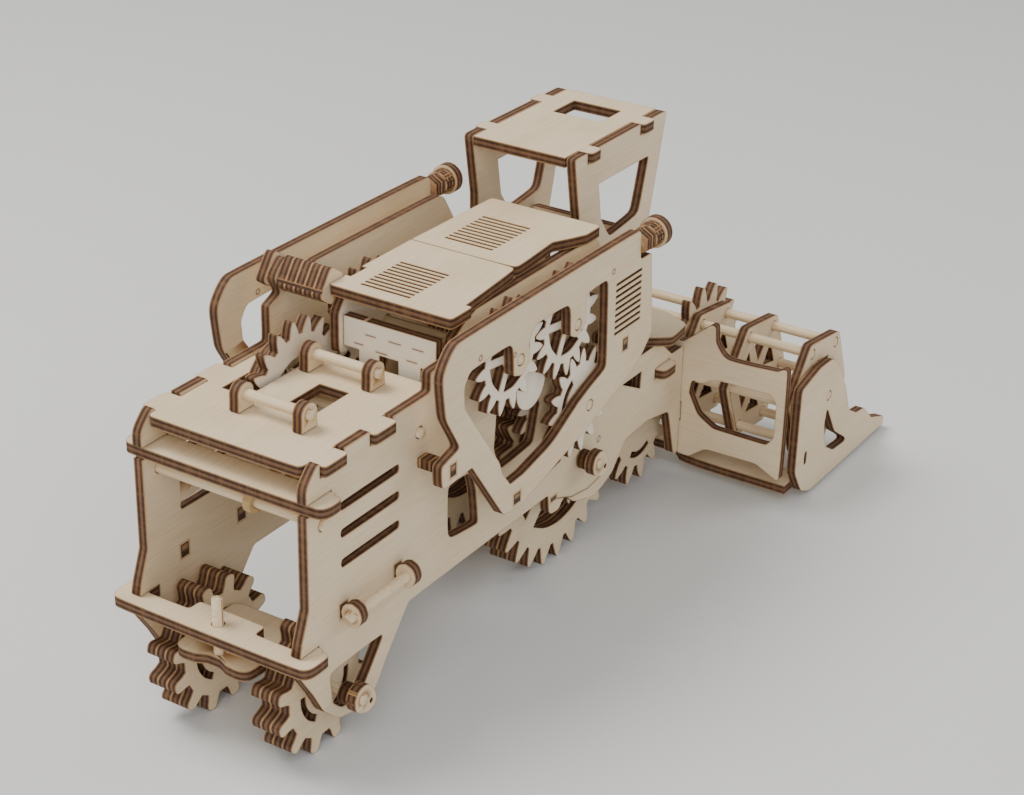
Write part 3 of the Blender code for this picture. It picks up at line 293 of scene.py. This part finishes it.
class Nodes:
    """A short way to write a node tree."""

    def __init__(self, name):
        self.material = bpy.data.materials.new(name)
        self.material.use_nodes = True
        self.tree = self.material.node_tree
        self.tree.nodes.clear()

    def node(self, kind, inputs=(), **settings):
        made = self.tree.nodes.new(kind)
        for key, value in settings.items():
            setattr(made, key, value)
        for key, value in dict(inputs).items():
            self.put(made.inputs[key], value)
        return made

    def put(self, socket, value):
        if hasattr(value, "is_linked"):
            self.tree.links.new(value, socket)
        else:
            socket.default_value = value

    def math(self, operation, a, b=0.0, clamp=False):
        made = self.node("ShaderNodeMath", operation=operation, use_clamp=clamp)
        self.put(made.inputs[0], a)
        self.put(made.inputs[1], b)
        return made.outputs[0]

    def mix(self, share, a, b, blend="MIX"):
        made = self.node("ShaderNodeMix", data_type="RGBA", blend_type=blend, clamp_factor=True)
        self.put(made.inputs[0], share)
        self.put(made.inputs[6], a)
        self.put(made.inputs[7], b)
        return made.outputs[2]

    def tint(self, colour, share, strength, toward):
        """The colour moved toward another by a share of the strength."""
        return self.mix(self.math("MULTIPLY", share, strength), colour, toward)

    def noise(self, at, scale, detail=3.0, rough=0.5):
        settings = {"Vector": at, "Scale": scale, "Detail": detail, "Roughness": rough}
        return self.node("ShaderNodeTexNoise", settings).outputs[0]

    def stretched(self, at, scale):
        made = self.node("ShaderNodeVectorMath", operation="MULTIPLY")
        self.put(made.inputs[0], at)
        made.inputs[1].default_value = scale
        return made.outputs[0]

    def ramp(self, value, stops):
        made = self.node("ShaderNodeValToRGB", {0: value})
        while len(made.color_ramp.elements) < len(stops):
            made.color_ramp.elements.new(1.0)
        for element, (position, colour) in zip(made.color_ramp.elements, stops):
            element.position = position
            element.color = colour
        return made.outputs[0]

    def between(self, value, low, high):
        made = self.node("ShaderNodeMapRange", {"Value": value, "From Min": low, "From Max": high})
        return made.outputs[0]

    def end(self, colour, roughness, height, distance, normal=None):
        """Ends the tree in a matt shader with a fine bump, and gives the material."""
        look = {"Base Color": colour, "Roughness": roughness}
        shader = self.node("ShaderNodeBsdfPrincipled", look)
        shader.inputs["Specular IOR Level"].default_value = 0.28
        relief = {"Height": height, "Strength": 0.6, "Distance": distance}
        bump = self.node("ShaderNodeBump", relief)
        if normal is not None:
            self.put(bump.inputs["Normal"], normal)
        self.put(shader.inputs["Normal"], bump.outputs[0])
        output = self.node("ShaderNodeOutputMaterial")
        self.put(output.inputs["Surface"], shader.outputs[0])
        return self.material


def near_edge(make, radius):
    """0 away from a cut edge and 1 at it, from how far a rounded normal turns."""
    rounded = make.node("ShaderNodeBevel", {"Radius": radius}, samples=6)
    true_normal = make.node("ShaderNodeNewGeometry").outputs["True Normal"]
    turned = make.node("ShaderNodeVectorMath", operation="DOT_PRODUCT")
    make.put(turned.inputs[0], rounded.outputs[0])
    make.put(turned.inputs[1], true_normal)
    return make.between(turned.outputs["Value"], 0.995, 0.78), rounded.outputs[0]


def segment_distance(make, du, dv, across, up):
    """How far (du, dv) lies from the line that runs from the origin to (across, up)."""
    square = across * across + up * up
    along_u = make.math("MULTIPLY", du, across / square)
    along_v = make.math("MULTIPLY", dv, up / square)
    along = make.math("ADD", along_u, along_v)
    along = make.math("MINIMUM", make.math("MAXIMUM", along, 0.0), 1.0)
    off_u = make.math("SUBTRACT", du, make.math("MULTIPLY", along, across))
    off_v = make.math("SUBTRACT", dv, make.math("MULTIPLY", along, up))
    return length_of(make, off_u, off_v)


def length_of(make, u, v):
    squares = make.math("ADD", make.math("MULTIPLY", u, u), make.math("MULTIPLY", v, v))
    return make.math("SQRT", squares)


def engraved(make, place, colour, marks, shift):
    """Laser marks on a sheet: rings, lines, and slots filled by another sheet's end."""
    split = make.node("ShaderNodeSeparateXYZ", {0: place})
    for kind, u, v, first, second in marks:
        du = make.math("SUBTRACT", split.outputs[0], u + shift)
        dv = make.math("SUBTRACT", split.outputs[1], v - shift)
        if kind == "slot":
            over = make.math("SUBTRACT", make.math("ABSOLUTE", du), first)
            up = make.math("SUBTRACT", make.math("ABSOLUTE", dv), second)
            off = make.math("MAXIMUM", over, up)
            lower = make.between(dv, -0.2 * second, 0.2 * second)
            end = make.mix(lower, (0.05, 0.024, 0.015, 1), (0.30, 0.17, 0.08, 1))
            colour = make.mix(make.between(off, 0.9, 0.1), colour, GOLD)
            colour = make.mix(make.between(off, 0.10, -0.10), colour, CHAR)
            colour = make.mix(make.between(off, -0.30, -0.45), colour, end)
            continue
        if kind == "ring":
            off = make.math("ABSOLUTE", make.math("SUBTRACT", length_of(make, du, dv), first))
        else:
            off = segment_distance(make, du, dv, first, second)
        cut = make.math("MULTIPLY", make.between(off, 0.26, 0.10), 0.85)
        golden = make.mix(0.25, colour, GOLD)
        colour = make.mix(make.between(off, 0.9, 0.2), colour, golden)
        colour = make.mix(cut, colour, (0.13, 0.058, 0.028, 1))
    return colour


def ply_material(name, shift=0.0, marks=()):
    """Plywood: pale grain on the faces, and charred layers on the cut edges."""
    make = Nodes(name)
    place = make.node("ShaderNodeAttribute", attribute_name="sheet_place").outputs["Vector"]
    kind = make.node("ShaderNodeAttribute", attribute_name="sheet_kind").outputs["Fac"]
    is_edge = make.math("GREATER_THAN", kind, 0.5)
    across = make.node("ShaderNodeSeparateXYZ", {0: place}).outputs[2]

    # Faces: long pale grain, a little figure, fine pores
    figure = make.noise(make.stretched(place, (0.016, 0.11, 0.3)), 1.0, 4.0, 0.6)
    grain = make.noise(make.stretched(place, (0.07, 1.5, 1.0)), 1.0, 5.0, 0.65)
    pores = make.noise(make.stretched(place, (0.5, 7.0, 1.0)), 1.0, 2.0, 0.6)
    cloud = make.noise(make.stretched(place, (0.035, 0.05, 1.0)), 1.0, 2.0)
    face = make.ramp(grain, [
        (0.25, (0.60, 0.455, 0.285, 1)), (0.45, (0.71, 0.565, 0.375, 1)),
        (0.75, (0.80, 0.665, 0.47, 1)),
    ])
    face = make.tint(face, make.between(figure, 0.52, 0.68), 0.35, (0.62, 0.46, 0.28, 1))
    face = make.tint(face, make.between(pores, 0.60, 0.74), 0.30, (0.50, 0.36, 0.22, 1))
    face = make.tint(face, make.between(cloud, 0.40, 0.62), 0.22, (0.84, 0.74, 0.58, 1))
    tone = make.between(kind, 0.0, TONE_SHARE)
    face = make.tint(face, tone, 0.30, (0.68, 0.52, 0.31, 1))
    face = make.tint(face, make.between(tone, 0.2, 0.0), 0.55, (0.88, 0.83, 0.74, 1))
    halo, soft_normal = near_edge(make, 0.38 * MM)
    smoke = near_edge(make, 1.3 * MM)[0]
    patches = make.noise(make.stretched(place, (0.35, 0.35, 1.0)), 1.0, 2.0)
    patchy = make.math("MULTIPLY", make.between(patches, 0.3, 0.65), 0.42)
    face = make.tint(face, smoke, patchy, (0.58, 0.36, 0.15, 1))
    face = make.tint(face, halo, 0.85, (0.36, 0.165, 0.055, 1))
    if marks:
        face = engraved(make, place, face, marks, shift)

    # Cut edges: charred layers with a paler core and golden rims, and pale spots where the
    # piece was held in its sheet
    layer = make.math("FRACT", across)
    plies = make.ramp(layer, [
        (0.0, RIM), (0.09, UNDER_RIM), (0.17, BURNT), (0.33, (0.064, 0.030, 0.018, 1)),
        (0.40, (0.175, 0.088, 0.042, 1)), (0.60, (0.190, 0.096, 0.046, 1)),
        (0.67, (0.060, 0.028, 0.017, 1)), (0.83, BURNT), (0.91, UNDER_RIM), (1.0, RIM),
    ])
    burn = make.noise(make.stretched(place, (0.55, 0.55, 0.35)), 1.0, 4.0, 0.65)
    edge = make.tint(plies, make.between(burn, 0.50, 0.75), 0.5, (0.24, 0.125, 0.058, 1))
    edge = make.tint(edge, make.between(burn, 0.48, 0.28), 0.4, (0.036, 0.017, 0.011, 1))
    spots = {"Vector": make.stretched(place, (0.055, 0.055, 0.0)), "Scale": 1.0}
    from_spot = make.node("ShaderNodeTexVoronoi", spots).outputs["Distance"]
    edge = make.mix(make.math("LESS_THAN", from_spot, 0.035), edge, (0.56, 0.40, 0.23, 1))

    colour = make.mix(is_edge, face, edge)
    rough = make.between(grain, 0.0, 1.0)
    rough = make.math("ADD", make.math("MULTIPLY", rough, 0.16), 0.50)
    rough = make.math("ADD", rough, make.math("MULTIPLY", is_edge, 0.16))
    height = make.math("ADD", make.math("MULTIPLY", grain, 0.6), make.math("MULTIPLY", pores, 0.4))
    return make.end(colour, rough, height, 0.00012, soft_normal)


def stick_material():
    make = Nodes("round_stick")
    at = make.node("ShaderNodeTexCoord").outputs["Object"]
    grain = make.noise(make.stretched(at, (1600.0, 55.0, 1600.0)), 1.0, 4.0, 0.6)
    cloud = make.noise(make.stretched(at, (90.0, 40.0, 90.0)), 1.0, 2.0)
    colour = make.ramp(grain, [
        (0.25, (0.60, 0.43, 0.25, 1)), (0.5, (0.76, 0.60, 0.39, 1)), (0.8, (0.84, 0.70, 0.49, 1)),
    ])
    colour = make.tint(colour, make.between(cloud, 0.5, 0.7), 0.3, (0.62, 0.44, 0.25, 1))
    rough = make.math("ADD", make.math("MULTIPLY", grain, 0.2), 0.42)
    return make.end(colour, rough, grain, 0.00008)


def rubber_material():
    make = Nodes("natural_rubber")
    at = make.node("ShaderNodeTexCoord").outputs["Object"]
    speck = make.noise(at, 900.0, 3.0, 0.6)
    bloom = make.noise(at, 160.0, 2.0)
    colour = make.mix(make.between(bloom, 0.35, 0.7), (0.42, 0.27, 0.11, 1), (0.56, 0.40, 0.20, 1))
    colour = make.tint(colour, make.between(speck, 0.6, 0.75), 0.4, (0.70, 0.58, 0.40, 1))
    rough = make.math("ADD", make.math("MULTIPLY", speck, 0.25), 0.45)
    return make.end(colour, rough, speck, 0.00006)


# ---------------------------------------------------------------- pieces


def from_corner(node, marks):
    """Marks moved from the node's lowest corner to its own place.

    Each is (kind, across, up, first, second) in mm: a ring has a radius first, a slot has its
    half width and half height, and a line has how far it runs across and up.
    """
    low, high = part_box(node)
    size = high - low
    flat = min(range(3), key=lambda axis: size[axis])
    corner = [low[axis] / MM for axis in range(3) if axis != flat]
    return [(kind, corner[0] + u, corner[1] + v, *sizes) for kind, u, v, *sizes in marks]


COVER_MARKS = [
    ("slot", 5.1, 24.9, 1.3, 1.7), ("slot", 35.6, 2.9, 1.6, 1.5), ("slot", 90.8, 26.9, 1.3, 1.8),
    ("ring", 16.9, 51.4, 0.7, 0), ("ring", 82.5, 51.8, 0.7, 0), ("ring", 33.0, 46.0, 0.6, 0),
]
PANEL_MARKS = [("slot", 18.5, 32.6, 1.5, 1.9), ("slot", 41.5, 32.6, 1.5, 1.9)]
BELLY_MARKS = PANEL_MARKS + [
    ("line", 119.5, 17.6, 8.2, -3.2), ("line", 127.7, 14.4, 9.0, -1.4),
    ("line", 136.7, 13.0, 7.6, 1.0), ("line", 144.3, 14.0, 3.4, 2.6),
    ("slot", 117.6, 18.4, 1.5, 0.6), ("ring", 142.0, 27.0, 0.9, 0),
]
WALL_MARKS = [
    ("line", 4.0, 9.4, 3.2, 0), ("line", 11.0, 9.4, 3.6, 0), ("line", 19.0, 9.4, 3.0, 0),
    ("line", 6.0, 5.6, 3.0, 0), ("line", 15.4, 5.4, 3.4, 0), ("line", 23.0, 6.2, 2.6, 0),
]
MARKS = {
    "side_cover_right": COVER_MARKS, "side_cover_left": COVER_MARKS, "side_panel_left": PANEL_MARKS,
    "side_panel_right": BELLY_MARKS, "engine_wall_rear": WALL_MARKS,
}


def ply_piece(name, node, shift, plain, stick):
    """The finer visible piece of a node, with its materials on the faces that they belong to."""
    piece = made_finer(name, node, shift)
    wood = plain
    if name in MARKS:
        wood = ply_material("ply_" + name, shift, from_corner(name, MARKS[name]))
    piece.data.materials.append(wood)
    piece.data.materials.append(stick)
    kinds = piece.data.attributes["sheet_kind"].data
    for polygon in piece.data.polygons:
        polygon.material_index = 1 if kinds[polygon.index].value > 1.5 else 0
    return piece


def dress_all():
    """Puts a visible piece in place of every node but the rubber band, which keeps its own mesh."""
    plain = ply_material("birch_ply")
    stick = stick_material()
    rubber = rubber_material()
    bodies = {node: obj["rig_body"] for node, obj in frame["nodes"].items()}
    for index, (name, node) in enumerate(sorted(frame["nodes"].items())):
        node.data.materials.clear()
        if name == "rubber_band":
            node.data.materials.append(rubber)
            continue
        if name.startswith(STICK_ONLY):
            node.data.materials.append(stick)
            piece = round_stick(name)
            piece.data.materials.append(stick)
        else:
            node.data.materials.append(plain)
            piece = ply_piece(name, node, MARK_SHIFT * index, plain, stick)
        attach(piece, bodies[name])
        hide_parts(name)


# ---------------------------------------------------------------- camera, floor and light


def add_camera():
    level = math.cos(PITCH)
    forward = Vector((math.cos(YAW) * level, math.sin(YAW) * level, -math.sin(PITCH)))
    side = Vector((math.sin(YAW), -math.cos(YAW), 0.0))
    up = side.cross(forward)
    right = side * math.cos(ROLL) + up * math.sin(ROLL)
    top = up * math.cos(ROLL) - side * math.sin(ROLL)
    data = bpy.data.cameras.new("camera")
    data.lens = LENS
    data.sensor_width = 36.0
    data.sensor_fit = "HORIZONTAL"
    data.clip_start = 0.01
    camera = bpy.data.objects.new("camera", data)
    turn = Matrix((right, top, -forward)).transposed().to_4x4()
    camera.matrix_world = Matrix.Translation(EYE) @ turn
    bpy.context.scene.collection.objects.link(camera)
    bpy.context.scene.camera = camera


def add_floor():
    bm = bmesh.new()
    bmesh.ops.create_circle(bm, cap_ends=True, radius=9.0, segments=96)
    mesh = bpy.data.meshes.new("floor")
    bm.to_mesh(mesh)
    bm.free()
    floor = bpy.data.objects.new("floor", mesh)
    bpy.context.scene.collection.objects.link(floor)
    make = Nodes("floor_paper")
    at = make.node("ShaderNodeTexCoord").outputs["Object"]
    tooth = make.noise(at, 1400.0, 3.0, 0.6)
    colour = make.mix(tooth, (0.70, 0.71, 0.70, 1), (0.76, 0.76, 0.75, 1))
    floor.data.materials.append(make.end(colour, 0.85, tooth, 0.00005))


def add_light(name, place, target, size, power, colour):
    data = bpy.data.lights.new(name, "AREA")
    data.shape = "DISK"
    data.size = size
    data.energy = power
    data.color = colour
    light = bpy.data.objects.new(name, data)
    light.location = place
    light.rotation_euler = (Vector(target) - Vector(place)).to_track_quat("-Z", "Y").to_euler()
    bpy.context.scene.collection.objects.link(light)


def add_lights():
    world = bpy.data.worlds.new("studio")
    world.use_nodes = True
    world.node_tree.nodes["Background"].inputs[0].default_value = (0.97, 0.98, 1.0, 1)
    world.node_tree.nodes["Background"].inputs[1].default_value = 0.38
    bpy.context.scene.world = world
    middle = (0.0, 0.0, 0.05)
    add_light("key", (-0.25, 0.55, 1.10), middle, 0.75, 13.6, (1.0, 0.97, 0.92))
    add_light("fill", (-0.95, -0.65, 0.75), middle, 1.1, 8.4, (0.98, 0.985, 1.0))
    add_light("side", (0.75, -0.80, 0.60), middle, 0.9, 4.0, (1.0, 0.98, 0.95))


add_camera()
dress_all()
add_floor()
add_lights()
